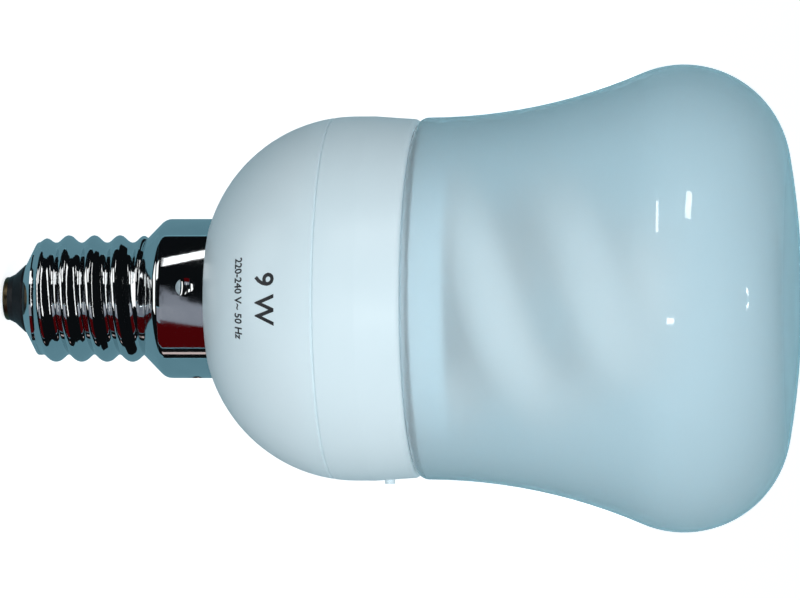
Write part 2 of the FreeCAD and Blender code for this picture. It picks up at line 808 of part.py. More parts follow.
# Ceramic disc capacitor, face along the film capacitor
disc_centre = Vec(disc_x, disc_y, board_z - disc_drop)
disc_axis = polar(1, film_angle)
disc = Part.makeCylinder(disc_r, disc_thickness, disc_centre - disc_axis * disc_thickness / 2,
                         disc_axis)
disc = disc.makeFillet(0.6, [e for e in disc.Edges if isinstance(e.Curve, Part.Circle)])
disc_legs = []
for s in (-disc_leg, disc_leg):
    p = disc_centre + polar(s, film_angle + 90)
    disc_legs.append(lead_up(p.x, p.y, disc_centre.z + 0.8))
save("ceramic_capacitor", disc.fuse(disc_legs))


def standing_part(x, y, body_r, body_length, side):
    """Axial component on end: its lower lead doubles back to the board."""
    z1 = board_z - standing_gap
    z0 = z1 - body_length
    body = cylinder(body_r, z0, z1, x, y)
    body = body.makeFillet(0.3, [e for e in body.Edges if isinstance(e.Curve, Part.Circle)])
    other = x + side * (body_r + 1.1)
    turn_z = z0 - standing_turn
    wire = bent_wire([Vec(x, y, lead_end_z), Vec(x, y, turn_z),
                      Vec(other, y, turn_z), Vec(other, y, lead_end_z)], lead_r, 0.6)
    solder_points.extend([(x, y), (other, y)])
    return body.fuse(wire)


save("trigger_diac", standing_part(diac_place[0], diac_place[1], diac_r, diac_length, diac_place[2]))
for n, (x, y, side) in enumerate(resistor_places, 1):
    save("resistor_%d" % n, standing_part(x, y, resistor_r, resistor_length, side))

# Fuse resistor in the neck; its lower lead runs down to the centre contact
wire_end_z = contact_z + 0.1
fuse_body = cylinder(fuse_r, fuse_z0, fuse_z1, fuse_x, 0)
fuse_body = fuse_body.makeFillet(0.3, [e for e in fuse_body.Edges
                                       if isinstance(e.Curve, Part.Circle)])
fuse_route = [Vec(*fuse_foot, lead_end_z), Vec(*fuse_foot, fuse_z1 + 3.0),
              Vec(fuse_x, 0, fuse_z1 + 1.3), Vec(fuse_x, 0, fuse_z0 - 1.2),
              Vec(0, 0, sleeve_end_z + 1.0), Vec(0, 0, wire_end_z)]
solder_points.append(fuse_foot)
save("fuse_resistor", fuse_body.fuse(bent_wire(fuse_route, lead_r, 1.2)))
save("insulating_sleeve", sleeve(sleeve_r, lead_r, insulator_top_z + 0.1, sleeve_end_z))

# Solder dome on the centre contact, through its eyelet and round the lead
dome_height = contact_z
dome_foot = 1.5
cap_r = (dome_foot ** 2 + dome_height ** 2) / (2 * dome_height)
contact_solder = turned([
    (0, 0),
    (dome_foot, dome_height, 0, cap_r),
    (eyelet_bore_r, contact_z),
    (eyelet_bore_r, contact_z + 1.3),
    (0, contact_z + 1.3)])
save("contact_solder", contact_solder.cut(cylinder(lead_r, wire_end_z, 3.0)))

# Lead from the board down the dome's wall and out to the screw shell
shell_route = [(shell_lead_r, lead_end_z), (shell_lead_r, board_z - 4.4), (6.35, 24.6),
               (6.35, shell_lead_z), (skirt_bore_r - 0.02, shell_lead_z)]
shell_lead = bent_wire([polar(r, shell_lead_angle, z) for r, z in shell_route], lead_r, 0.9)
p = polar(shell_lead_r, shell_lead_angle)
solder_points.append((p.x, p.y))
save("shell_lead", shell_lead)

# Wrap pins, and the tube's leads wound on them
pin_half = 0.4
pin_top_z = 40.3
wrap_wire_r = 0.2
wrap_half = pin_half + wrap_wire_r + 0.01
wrap_turns = 3
wrap_rise = 2 * wrap_wire_r + 0.02
lead_z = leg_end_z - 0.7
for n, angle in enumerate(pin_angles, 1):
    pin = block(pin_r - pin_half, pin_r + pin_half, -pin_half, pin_half,
                board_z - 0.5, pin_top_z)
    collar = block(pin_r - 0.7, pin_r + 0.7, -0.7, 0.7, board_top_z, board_top_z + 0.3)
    save("lead_pin_%d" % n, around(pin.fuse(collar), angle))
    leg = leg_angles[0] if n <= 2 else leg_angles[1] - 360
    side = 1 if (angle - leg) % 360 < 180 else -1
    start = polar(spiral_r, leg, leg_end_z) + polar(0.8 * side, leg + 90)
    route = [start, Vec(start.x, start.y, lead_z)]
    for i in range(4 * wrap_turns):
        out, along = ((-1, 1), (1, 1), (1, -1), (-1, -1))[i % 4]
        corner = polar(pin_r + out * wrap_half, angle, lead_z + wrap_rise * i / 4)
        route.append(corner + polar(along * side * wrap_half, angle + 90))
    save("tube_lead_%d" % n, bent_wire(route, wrap_wire_r, 0.25))

# Board with a hole for each lead and pin, and its solder joints
board = cylinder(board_r, board_z, board_top_z)
holes = [cylinder(lead_r + 0.12, board_z - 1, board_top_z + 1, x, y) for x, y in solder_points]
pin_holes = [around(block(pin_r - 0.42, pin_r + 0.42, -0.42, 0.42, board_z - 1, board_top_z + 1), a)
             for a in pin_angles]
save("circuit_board", board.cut(holes + pin_holes))

joints = []
for x, y in solder_points:
    cone = Part.makeCone(joint_foot_r, joint_neck_r, joint_height, Vec(x, y, board_top_z))
    joints.append(cone.cut(cylinder(lead_r, board_top_z - 1, board_top_z + 1, x, y)))
save("solder_joints", Part.makeCompound(joints))
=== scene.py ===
# %% [markdown]
# # A mushroom energy saving lamp
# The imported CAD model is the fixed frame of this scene. Every solid of it is
# imported in place, in metres, with the lamp axis on +Z and the screw cap at
# the bottom.

import json
import math

import bmesh
import bpy
from mathutils import Matrix, Vector
from mathutils.bvhtree import BVHTree


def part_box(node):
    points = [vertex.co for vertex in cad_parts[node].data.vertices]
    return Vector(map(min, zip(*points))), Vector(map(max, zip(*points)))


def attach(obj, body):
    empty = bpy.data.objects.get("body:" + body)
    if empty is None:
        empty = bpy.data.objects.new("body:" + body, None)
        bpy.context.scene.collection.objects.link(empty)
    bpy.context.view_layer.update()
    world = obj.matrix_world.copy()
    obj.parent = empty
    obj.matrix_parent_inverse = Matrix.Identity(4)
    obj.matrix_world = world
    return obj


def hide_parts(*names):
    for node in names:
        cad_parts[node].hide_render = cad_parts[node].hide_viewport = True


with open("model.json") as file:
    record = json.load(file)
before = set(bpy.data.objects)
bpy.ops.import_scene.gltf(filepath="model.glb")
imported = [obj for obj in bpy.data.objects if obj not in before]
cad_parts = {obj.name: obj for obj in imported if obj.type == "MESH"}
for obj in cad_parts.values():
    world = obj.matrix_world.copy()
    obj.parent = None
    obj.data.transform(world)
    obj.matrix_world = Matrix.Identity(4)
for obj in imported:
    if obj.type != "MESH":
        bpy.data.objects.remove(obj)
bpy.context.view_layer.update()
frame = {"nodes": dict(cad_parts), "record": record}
nodes = frame["nodes"]
scene = bpy.context.scene
MM = 0.001

# %% [markdown]
# ## Camera
# The photograph shows the lamp lying on its side: its axis runs across the
# picture with the bulb on the right. The frame keeps the lamp upright, so the
# camera is turned instead. Its right-hand side points up the lamp axis, and it
# looks slightly down on the bulb, which makes the joints show as shallow arcs.
# A long lens from half a metre keeps the perspective as weak as it is there.

# %% Camera
CAMERA_TILT = math.radians(7.0)
CAMERA_DISTANCE = 520 * MM
VIEW_WIDTH = 86.5 * MM
AIM = Vector((0.16, 0.0, 43.68)) * MM
SENSOR = 36.0
NEAREST, FARTHEST = 0.01, 100

backward = Vector((0, -math.cos(CAMERA_TILT), math.sin(CAMERA_TILT)))
rightward = Vector((0, math.sin(CAMERA_TILT), math.cos(CAMERA_TILT)))
upward = backward.cross(rightward)
camera_data = bpy.data.cameras.new("camera")
camera_data.sensor_width = SENSOR
camera_data.lens = SENSOR * CAMERA_DISTANCE / VIEW_WIDTH
camera_data.clip_start = NEAREST
camera_data.clip_end = FARTHEST
camera = bpy.data.objects.new("camera", camera_data)
turn = Matrix((rightward, upward, backward)).transposed()
camera.matrix_world = Matrix.Translation(AIM + backward * CAMERA_DISTANCE) @ turn.to_4x4()
scene.collection.objects.link(camera)
scene.camera = camera
print("lens", round(camera_data.lens, 1), "mm")

# %% [markdown]
# ## Building blocks
# Every object here is a mesh from plain lists, and every material a small
# graph of nodes. A few helpers keep the later cells short: one makes a mesh,
# one an empty material, one a shader that glows, and one mixes two shaders by
# a mask. With Light Path as the mask, a surface can look one way to the
# camera and another way to a reflection.

# %% Helpers for meshes and shaders


def new_object(name, vertices, faces):
    """Mesh object from plain lists, linked to the scene."""
    mesh = bpy.data.meshes.new(name)
    mesh.from_pydata(vertices, [], faces)
    mesh.update()
    made = bpy.data.objects.new(name, mesh)
    scene.collection.objects.link(made)
    return made


def new_material(name):
    """Empty node material: returns it, its tree, and the input of its output node."""
    material = bpy.data.materials.new(name)
    material.use_nodes = True
    tree = material.node_tree
    tree.nodes.clear()
    output = tree.nodes.new("ShaderNodeOutputMaterial")
    return material, tree, output.inputs["Surface"]


def glow(tree, kind, colour, strength=1.0):
    """Emission or Background shader of one colour; returns its output."""
    made = tree.nodes.new("ShaderNode" + kind)
    made.inputs["Color"].default_value = (*colour, 1)
    made.inputs["Strength"].default_value = strength
    return made.outputs[0]


def mixed(tree, mask, at_0, at_1):
    """One shader where the mask is 0 and another where it is 1."""
    made = tree.nodes.new("ShaderNodeMixShader")
    for socket, source in zip(made.inputs, (mask, at_0, at_1)):
        tree.links.new(source, socket)
    return made.outputs[0]


BLACK = (0.004, 0.005, 0.006)
WHITE = (1.0, 1.0, 1.0)
print("camera looks along", tuple(round(c, 2) for c in -backward))

# %% [markdown]
# ## Floor
# A product photograph on white needs a pale floor that still takes the shadow.
# The lamp stands on its contact, so the floor is the plane at zero. To the
# camera it glows a little by itself, which brings it up to white without more
# light on the lamp. Seen through the frosted bulb, floor and surroundings are
# blue-grey instead: the photograph's bulb is that colour although its backdrop
# is white, and with white behind the glass it came out far too pale.

# %% Floor
FLOOR_HALF = 4.0
FLOOR_Z = -0.02 * MM
FLOOR_GLOW = 0.76
GLASS_VIEW = (0.30, 0.62, 0.75)
corners = [(x * FLOOR_HALF, y * FLOOR_HALF, FLOOR_Z)
           for x, y in ((-1, -1), (1, -1), (1, 1), (-1, 1))]
floor = new_object("floor", corners, [(0, 1, 2, 3)])
floor_paint, tree, surface = new_material("floor_paint")
plain = tree.nodes.new("ShaderNodeBsdfPrincipled")
plain.inputs["Base Color"].default_value = (0.86, 0.88, 0.89, 1)
plain.inputs["Roughness"].default_value = 0.9
rays = tree.nodes.new("ShaderNodeLightPath")
own_light = mixed(tree, rays.outputs["Is Camera Ray"], glow(tree, "Emission", WHITE, 0.0),
                  glow(tree, "Emission", WHITE, FLOOR_GLOW))
total = tree.nodes.new("ShaderNodeAddShader")
tree.links.new(plain.outputs[0], total.inputs[0])
tree.links.new(own_light, total.inputs[1])
seen = mixed(tree, rays.outputs["Is Transmission Ray"], total.outputs[0],
             glow(tree, "Emission", GLASS_VIEW))
tree.links.new(seen, surface)
floor.data.materials.append(floor_paint)
floor.visible_glossy = False
print("floor", FLOOR_HALF * 2, "m wide")

# %% [markdown]
# ## Surroundings
# The world gives each kind of ray its own backdrop. It lights the lamp softly
# and evenly at a low level, the camera sees plain white, and both the glass
# and the coats of the lamp find the same blue-grey as above.

# %% World
SKY_STRENGTH = 0.34
THROUGH_STRENGTH = 1.07
MIRROR_STRENGTH = 0.7
scene.view_settings.view_transform = "Standard"
world = bpy.data.worlds.new("studio")
scene.world = world
world.use_nodes = True
tree = world.node_tree
tree.nodes.clear()
rays = tree.nodes.new("ShaderNodeLightPath")
backdrop = glow(tree, "Background", (0.80, 0.90, 0.95), SKY_STRENGTH)
for ray, colour, strength in (("Is Camera Ray", WHITE, 1.0),
                              ("Is Transmission Ray", GLASS_VIEW, THROUGH_STRENGTH),
                              ("Is Glossy Ray", GLASS_VIEW, MIRROR_STRENGTH)):
    backdrop = mixed(tree, rays.outputs[ray], backdrop,
                     glow(tree, "Background", colour, strength))
world_output = tree.nodes.new("ShaderNodeOutputWorld")
tree.links.new(backdrop, world_output.inputs["Surface"])
print("sky strength", SKY_STRENGTH)

# %% [markdown]
# ## Light
# One large soft box stands behind the camera and a little to the side that
# the picture shows as its lower edge, which is why the lower half of the
# housing is brighter. A weak one behind keeps the far side from going grey,
# and the sky fills the rest at a low level. The lamp is so pale that more
# light would clip it to white.

# %% Lights
CENTRE = (0, 0, 0.05)
LIGHT_COLOUR = (0.93, 0.98, 1.0)


def area_light(name, place, width, height, power):
    """Rectangular soft box that faces the lamp and is never seen itself."""
    data = bpy.data.lights.new(name, "AREA")
    data.shape = "RECTANGLE"
    data.size = width
    data.size_y = height
    data.energy = power
    data.color = LIGHT_COLOUR
    lamp = bpy.data.objects.new(name, data)
    lamp.location = place
    lamp.rotation_mode = "QUATERNION"
    lamp.rotation_quaternion = (Vector(CENTRE) - Vector(place)).to_track_quat("-Z", "Y")
    lamp.visible_glossy = False
    lamp.visible_transmission = False
    scene.collection.objects.link(lamp)
    print(name, "light", power, "W")


area_light("key", (0.16, -0.75, 0.32), width=0.5, height=0.5, power=4.35)
area_light("fill", (-0.30, 0.75, 0.35), width=0.8, height=0.6, power=1.2)

# %% [markdown]
# ## Reflector cards
# Polished nickel has hardly a colour of its own: it is seen by what it
# reflects. So cards stand round the cap, as a photographer would put them.
# Each is a thin glowing sheet that only reflections see, and only from its
# front, so it casts no light and never hides another piece. A wall curves
# round the lamp axis, a sector lies flat like a slice of a ring, and a spark
# is a small bright card far off.

# %% Card helpers
CARD_RADIUS = 0.16
CARD_LOW, CARD_HIGH = -0.10, 0.0315
WALL_STEPS = 12
SECTOR_STEPS = 24
HIDDEN_FROM = ("camera", "diffuse", "transmission", "volume_scatter", "shadow")


def card_point(angle, z, radius):
    """Point at an angle from -Y towards -X, which is up in the photograph."""
    a = math.radians(angle)
    return (-radius * math.sin(a), -radius * math.cos(a), z)


def card(name, points, faces, colour, strength):
    """Glowing card that only reflections see, and only from its front."""
    made = new_object(name, points, faces)
    paint, tree, surface = new_material(name + "_paint")
    clear = tree.nodes.new("ShaderNodeBsdfTransparent")
    side = tree.nodes.new("ShaderNodeNewGeometry")
    tree.links.new(mixed(tree, side.outputs["Backfacing"],
                         glow(tree, "Emission", colour, strength), clear.outputs[0]), surface)
    made.data.materials.append(paint)
    for ray in HIDDEN_FROM:
        setattr(made, "visible_" + ray, False)


def wall(name, foot, colour, strength=1.0, low=CARD_LOW, high=CARD_HIGH, top=None,
         radius=CARD_RADIUS):
    """Upright card between two angles, or between two others at its top end."""
    top = top or foot
    points = []
    for i in range(WALL_STEPS + 1):
        for (first, last), z in ((foot, low), (top, high)):
            points.append(card_point(first + (last - first) * i / WALL_STEPS, z, radius))
    faces = [(2 * i, 2 * i + 2, 2 * i + 3, 2 * i + 1) for i in range(WALL_STEPS)]
    card(name, points, faces, colour, strength)


def sector(name, angles, radii, z, colour, strength=1.0, facing=1):
    """Flat card between two angles and two radii, facing up (1) or down (-1)."""
    first, last = angles
    points = [card_point(first + (last - first) * i / SECTOR_STEPS, z, radius)
              for i in range(SECTOR_STEPS + 1) for radius in radii]
    faces = [(2 * i, 2 * i + 2, 2 * i + 3, 2 * i + 1)[::facing] for i in range(SECTOR_STEPS)]
    card(name, points, faces, colour, strength)


def spark(name, place, target, half_width, half_height, strength):
    """Small bright card far off, for one highlight on the glass."""
    front = (Vector(target) - Vector(place)).normalized()
    across = Vector((0, 0, 1)).cross(front).normalized()
    upright = front.cross(across)
    corners = [Vector(place) + across * half_width * u + upright * half_height * v
               for u, v in ((-1, -1), (1, -1), (1, 1), (-1, 1))]
    card(name, corners, [(0, 1, 2, 3)], WHITE, strength)


print("cards stand at", CARD_RADIUS, "m from the axis")

# %% [markdown]
# ## What the cap reflects
# The photograph's cap shows bands along its length: teal at both edges, black
# towards the top, then grey, dark red and a thin pale line. One wall gives one
# band. A mirror turns a ray by twice its own angle, so a wall is twice as wide
# as its band. Floor and ceiling close this room, and a white patch in each
# lights those flanks of the thread that face up or down. From above, the bulb
# would mirror the bands too, so a screen in the colour of its surroundings
# lies over the room.

# %% Bands, floor and ceiling
TEAL = (0.13, 0.27, 0.33)
RED = (0.075, 0.002, 0.003)
GREY = (0.26, 0.28, 0.33)
PALE = (0.70, 0.56, 0.54)
DARK_SIDE, TEAL_SIDE, FRONT = (-94, 102), (102, 266), (-30, 75)
CEILING = 0.030
HOUSING_HOLE, BULB_HOLE = 0.0198, 0.024
STRIP_RADIUS = 0.155
LAYER = 0.001
SCREEN_STRENGTH = 0.6
FLANK_STRENGTH = 1.5
wall("black_card", (-12, 100), BLACK)
wall("grey_card", (-34, -13), GREY)
wall("red_card", (-74, -35), RED)
wall("dark_card", (-94, -75), BLACK)
wall("pale_strip", (-86, -82), PALE, low=-0.025, high=0.003, radius=STRIP_RADIUS)
wall("teal_card_up", (102, 180), TEAL)
wall("teal_card_down", (-180, -95), TEAL)
for suffix, angles, colour in (("", DARK_SIDE, BLACK), ("_teal", TEAL_SIDE, TEAL)):
    sector("floor_card" + suffix, angles, (0.0, CARD_RADIUS), CARD_LOW - LAYER, colour)
    sector("ceiling_card" + suffix, angles, (HOUSING_HOLE, CARD_RADIUS), CEILING + LAYER, colour,
           facing=-1)
sector("flank_card_low", FRONT, (0.040, 0.095), CARD_LOW, WHITE, FLANK_STRENGTH)
sector("flank_card_high", FRONT, (BULB_HOLE, 0.032), CEILING, WHITE, FLANK_STRENGTH,
       facing=-1)
sector("screen_card", (0, 360), (BULB_HOLE, CARD_RADIUS), CEILING + 2 * LAYER, GLASS_VIEW,
       SCREEN_STRENGTH)

# %% [markdown]
# ## What the skirt or the thread alone reflects
# The smooth skirt shows its grey band aslant and a white streak above it. The
# thread has neither, but short bright spots where a crest faces the camera.
# The camera looks down a little, so each height of the cap finds its
# reflection at a height of its own, and a low or narrow card reaches only the
# one or the other. Where a flank of the thread faces the housing, it would
# mirror the bright plastic. A ring card just above the thread keeps it dark.

# %% Cards for the skirt and the thread
NEAR_RADIUS = 0.157
STREAK_RADIUS = 0.05
THREAD_TOP = 0.0166
THREAD_RING = (0.0072, 0.0125)
SKIRT_LOW, SKIRT_HIGH = -0.0075, 0.0
wall("skirt_grey", (-29, 20), GREY, low=SKIRT_LOW, high=SKIRT_HIGH, top=(-42, -12),
     radius=NEAR_RADIUS)
wall("skirt_red", (-73, -29), RED, low=SKIRT_LOW, high=SKIRT_HIGH, top=(-73, -42),
     radius=NEAR_RADIUS)
wall("skirt_streak", (43, 55), WHITE, 2.0, low=0.0117, high=0.0180, top=(60, 72),
     radius=STREAK_RADIUS)
for suffix, angles, colour in (("", DARK_SIDE, BLACK), ("_teal", TEAL_SIDE, TEAL)):
    sector("thread_card" + suffix, angles, THREAD_RING, THREAD_TOP, colour, facing=-1)
wall("thread_glow", (-28, -8), WHITE, 0.9, low=-0.022, high=-0.0085, radius=NEAR_RADIUS)
wall("thread_streak", (28, 55), WHITE, 1.5, low=-0.023, high=-0.002, radius=STREAK_RADIUS)
print("ring card", THREAD_TOP / MM, "mm above the floor")

# %% [markdown]
# ## Highlights on the glass
# The smooth outside of the bulb mirrors a window and two lamps as small
# points, and two soft boxes as short streaks. Where a highlight sits tells how
# the glass is curved there, so each card is placed by the spot that it has in
# the photograph.

# %% Highlights on the glass
SPARK_STRENGTH = 16.0
STREAK_STRENGTH = 12.0
spark("window_spark", (0.088, -0.466, 0.057), (0, 0, 0.075), 0.014, 0.030, SPARK_STRENGTH)
spark("lamp_spark_1", (-0.020, -0.065, 0.53), (0, -0.02, 0.08), 0.006, 0.012, SPARK_STRENGTH)
spark("lamp_spark_2", (0.020, -0.064, 0.53), (0, -0.02, 0.08), 0.006, 0.012, SPARK_STRENGTH)
wall("glass_streak_1", (31, 45), WHITE, STREAK_STRENGTH, low=0.0320, high=0.0385,
     radius=STRIP_RADIUS)
wall("glass_streak_2", (39, 53), WHITE, STREAK_STRENGTH, low=0.160, high=0.205, radius=0.45)

# %% [markdown]
# ## Shared surface effect
# No real surface is one flat colour. Moulded plastic, lacquer and cement all
# vary a little in tone and gloss, and have a fine unevenness that breaks up
# reflections. One node group makes that variation for every material: a slow
# noise for the tone and gloss, and a finer one for the height.

# %% Surface variation group
NOISE_LOW, NOISE_HIGH = 0.3, 0.7
variation = bpy.data.node_groups.new("surface_variation", "ShaderNodeTree")
for side, name, kind, value in (
        ("INPUT", "Vector", "Vector", None),
        ("INPUT", "Low Colour", "Color", (0.8, 0.8, 0.8, 1)),
        ("INPUT", "High Colour", "Color", (0.9, 0.9, 0.9, 1)),
        ("INPUT", "Low Roughness", "Float", 0.3),
        ("INPUT", "High Roughness", "Float", 0.4),
        ("INPUT", "Slow Scale", "Float", 60.0),
        ("INPUT", "Fine Scale", "Float", 1500.0),
        ("OUTPUT", "Colour", "Color", None),
        ("OUTPUT", "Roughness", "Float", None),
        ("OUTPUT", "Height", "Float", None)):
    made = variation.interface.new_socket(name=name, in_out=side,
                                          socket_type="NodeSocket" + kind)
    if value is not None:
        made.default_value = value
link = variation.links.new
given = variation.nodes.new("NodeGroupInput")
result = variation.nodes.new("NodeGroupOutput")


def group_noise(scale, detail):
    """Noise on the group's own coordinates; returns its value."""
    noise = variation.nodes.new("ShaderNodeTexNoise")
    noise.inputs["Detail"].default_value = detail
    link(given.outputs["Vector"], noise.inputs["Vector"])
    link(given.outputs[scale], noise.inputs["Scale"])
    return noise.outputs["Fac"]


def stretched(value):
    """The middle of a noise's range, stretched to run from 0 to 1."""
    made = variation.nodes.new("ShaderNodeMapRange")
    made.inputs["From Min"].default_value = NOISE_LOW
    made.inputs["From Max"].default_value = NOISE_HIGH
    link(value, made.inputs["Value"])
    return made


slow = group_noise("Slow Scale", detail=3)
tone = variation.nodes.new("ShaderNodeMix")
tone.data_type = "RGBA"
link(stretched(slow).outputs["Result"], tone.inputs["Factor"])
link(given.outputs["Low Colour"], tone.inputs["A"])
link(given.outputs["High Colour"], tone.inputs["B"])
gloss = stretched(slow)
link(given.outputs["Low Roughness"], gloss.inputs["To Min"])
link(given.outputs["High Roughness"], gloss.inputs["To Max"])
link(tone.outputs["Result"], result.inputs["Colour"])
link(gloss.outputs["Result"], result.inputs["Roughness"])
link(group_noise("Fine Scale", detail=2), result.inputs["Height"])
print("group sockets", len(variation.interface.items_tree))

# %% [markdown]
# ## A material from the group
# Each finish is one Principled shader. The group feeds its colour, roughness
# and grain, and all other values stand on the shader's own sockets, where
# they are easy to find.

# %% Finish helper
GRAIN_DEPTH = 0.0001
paints = {}


def finish_material(name, low, high, rough, slow, fine, bump, **shader):
    """Principled material fed by the surface variation group."""
    material, tree, surface = new_material(name)
    link = tree.links.new
    where = tree.nodes.new("ShaderNodeTexCoord")
    vary = tree.nodes.new("ShaderNodeGroup")
    vary.node_tree = variation
    link(where.outputs["Object"], vary.inputs["Vector"])
    for socket, value in (("Low Colour", (*low, 1)), ("High Colour", (*high, 1)),
                          ("Low Roughness", rough[0]), ("High Roughness", rough[1]),
                          ("Slow Scale", slow), ("Fine Scale", fine)):
        vary.inputs[socket].default_value = value
    body = tree.nodes.new("ShaderNodeBsdfPrincipled")
    link(vary.outputs["Colour"], body.inputs["Base Color"])
    link(vary.outputs["Roughness"], body.inputs["Roughness"])
    grain = tree.nodes.new("ShaderNodeBump")
    grain.inputs["Strength"].default_value = bump
    grain.inputs["Distance"].default_value = GRAIN_DEPTH
    link(vary.outputs["Height"], grain.inputs["Height"])
    link(grain.outputs["Normal"], body.inputs["Normal"])
    for socket, value in shader.items():
        body.inputs[socket.replace("_", " ")].default_value = value
    link(body.outputs[0], surface)
    paints[name] = material
    return tree, body, surface


print("grain", GRAIN_DEPTH / MM, "mm deep")

# %% [markdown]
# ## Outer materials
# The two white mouldings are satin plastic with a cool cast. The bulb is clear
# glass outside and frosted inside: light passes, but shapes behind it blur,
# so the spiral tube shows as soft bands. A sharp coat over a rough, partly
# transmitting body gives exactly that. The body bends light less than solid
# glass does, because a thin wall hardly turns what passes through it. Shadow
# rays go straight through it, so that light reaches the tube. The cap is thin
# bright nickel.

# %% Outer materials
finish_material(
    "white_plastic", (0.76, 0.86, 0.90), (0.80, 0.89, 0.93), (0.30, 0.38),
    slow=40, fine=2500, bump=0.04)
tree, body, surface = finish_material(
    "frosted_glass", (0.87, 0.92, 0.945), (0.90, 0.94, 0.96), (0.48, 0.52),
    slow=30, fine=3000, bump=0.02, Transmission_Weight=0.75, IOR=1.25,
    Coat_Weight=1.0, Coat_Roughness=0.04)
light_through = tree.nodes.new("ShaderNodeBsdfTransparent")
light_through.inputs["Color"].default_value = (0.92, 0.95, 0.96, 1)
rays = tree.nodes.new("ShaderNodeLightPath")
tree.links.new(mixed(tree, rays.outputs["Is Shadow Ray"], body.outputs[0],
                     light_through.outputs[0]), surface)
finish_material(
    "nickel", (0.70, 0.73, 0.74), (0.76, 0.78, 0.79), (0.04, 0.07),
    slow=300, fine=900, bump=0.02, Metallic=1.0)
finish_material(
    "black_insulator", (0.010, 0.011, 0.013), (0.020, 0.022, 0.025), (0.25, 0.4),
    slow=400, fine=3000, bump=0.1, Specular_IOR_Level=0.12)
finish_material(
    "phosphor_tube", (0.84, 0.79, 0.77), (0.88, 0.83, 0.81), (0.22, 0.28),
    slow=80, fine=900, bump=0.03, Coat_Weight=0.6)
print("outer materials", len(paints))

# %% [markdown]
# ## Materials inside
# Nothing of the ballast shows in the photograph, but the part can be opened
# in a drawing or cut away in a picture, so every piece has its own surface:
# a brown paper-based board, sooty ferrite, lacquered copper, tin, moulded
# black plastic, and the glossy dip coats of the capacitors and resistors. The
# contact at the tip belongs here too: its brass is painted nearly black, as a
# painted dark reflection of dark surroundings.

# %% Inner materials
METAL = {"Metallic": 1.0}
INNER = {
    # brass: base colour painted nearly black, a painted dark reflection of dark surroundings
    "brass": ((0.12, 0.09, 0.05), (0.18, 0.14, 0.08), (0.3, 0.42), METAL),
    "solder": ((0.55, 0.56, 0.58), (0.70, 0.71, 0.73), (0.20, 0.38), METAL),
    "cement": ((0.86, 0.87, 0.87), (0.92, 0.92, 0.92), (0.80, 0.92), {}),
    "board": ((0.52, 0.33, 0.14), (0.60, 0.40, 0.19), (0.45, 0.60), {}),
    "ferrite": ((0.045, 0.045, 0.05), (0.09, 0.09, 0.095), (0.55, 0.75), {}),
    "copper_wire": ((0.62, 0.22, 0.07), (0.72, 0.30, 0.11), (0.22, 0.32), METAL),
    "tinned_wire": ((0.58, 0.59, 0.61), (0.70, 0.71, 0.73), (0.25, 0.38), METAL),
    "black_epoxy": ((0.018, 0.018, 0.02), (0.035, 0.035, 0.04), (0.45, 0.60), {}),
    "bobbin_plastic": ((0.025, 0.025, 0.03), (0.045, 0.045, 0.05), (0.40, 0.52), {}),
    "capacitor_sleeve": ((0.012, 0.02, 0.07), (0.02, 0.03, 0.10), (0.22, 0.34), {}),
    "film_capacitor": ((0.34, 0.05, 0.025), (0.42, 0.08, 0.04), (0.22, 0.34), {}),
    "ceramic_disc": ((0.50, 0.22, 0.04), (0.60, 0.29, 0.07), (0.30, 0.42), {}),
    "diac_glass": ((0.03, 0.08, 0.26), (0.05, 0.13, 0.36), (0.08, 0.14), {"Coat_Weight": 0.8}),
    "resistor_body": ((0.60, 0.48, 0.28), (0.68, 0.56, 0.35), (0.30, 0.40), {}),
    "fuse_body": ((0.09, 0.20, 0.12), (0.13, 0.26, 0.17), (0.45, 0.60), {}),
    "sleeve": ((0.62, 0.58, 0.46), (0.74, 0.70, 0.58), (0.70, 0.85), {}),
}
for name, (low, high, rough, shader) in INNER.items():
    finish_material(name, low, high, rough, slow=500, fine=4000, bump=0.15, **shader)
print("materials", len(paints))

# %% [markdown]
# ## Marks on the small parts
# Three of the inner pieces are known by their marks. A resistor carries rings
# of colour round its body, an electrolytic capacitor a pale stripe down the
# side of its minus lead, and a board its copper tracks, under a lacquer and
# on the side of the joints only. The marks are masks made from Object
# coordinates, so they need no picture.

# %% Mark helpers


def calculated(tree, operation, *terms):
    """Value of a Math node; each term is a plain number or a socket."""
    made = tree.nodes.new("ShaderNodeMath")
    made.operation = operation
    for socket, term in zip(made.inputs, terms):
        if isinstance(term, (int, float)):
            socket.default_value = term
        else:
            tree.links.new(term, socket)
    return made.outputs[0]


def overlay(tree, mask, colour):
    """Mix a colour into a finished material where the mask is 1."""
    body = next(x for x in tree.nodes if x.type == "BSDF_PRINCIPLED")
    under = body.inputs["Base Color"].links[0].from_socket
    mix = tree.nodes.new("ShaderNodeMix")
    mix.data_type = "RGBA"
    tree.links.new(mask, mix.inputs["Factor"])
    tree.links.new(under, mix.inputs["A"])
    mix.inputs["B"].default_value = colour
    tree.links.new(mix.outputs["Result"], body.inputs["Base Color"])


def object_axis(tree, axis, low, high):
    """Object coordinate along one axis, as 0 at low to 1 at high."""
    where = tree.nodes.new("ShaderNodeTexCoord")
    split = tree.nodes.new("ShaderNodeSeparateXYZ")
    scale = tree.nodes.new("ShaderNodeMapRange")
    scale.inputs["From Min"].default_value = low
    scale.inputs["From Max"].default_value = high
    tree.links.new(where.outputs["Object"], split.inputs[0])
    tree.links.new(split.outputs[axis], scale.inputs["Value"])
    return scale.outputs["Result"]


print("finishes with a mark", "resistor_body", "capacitor_sleeve", "board")

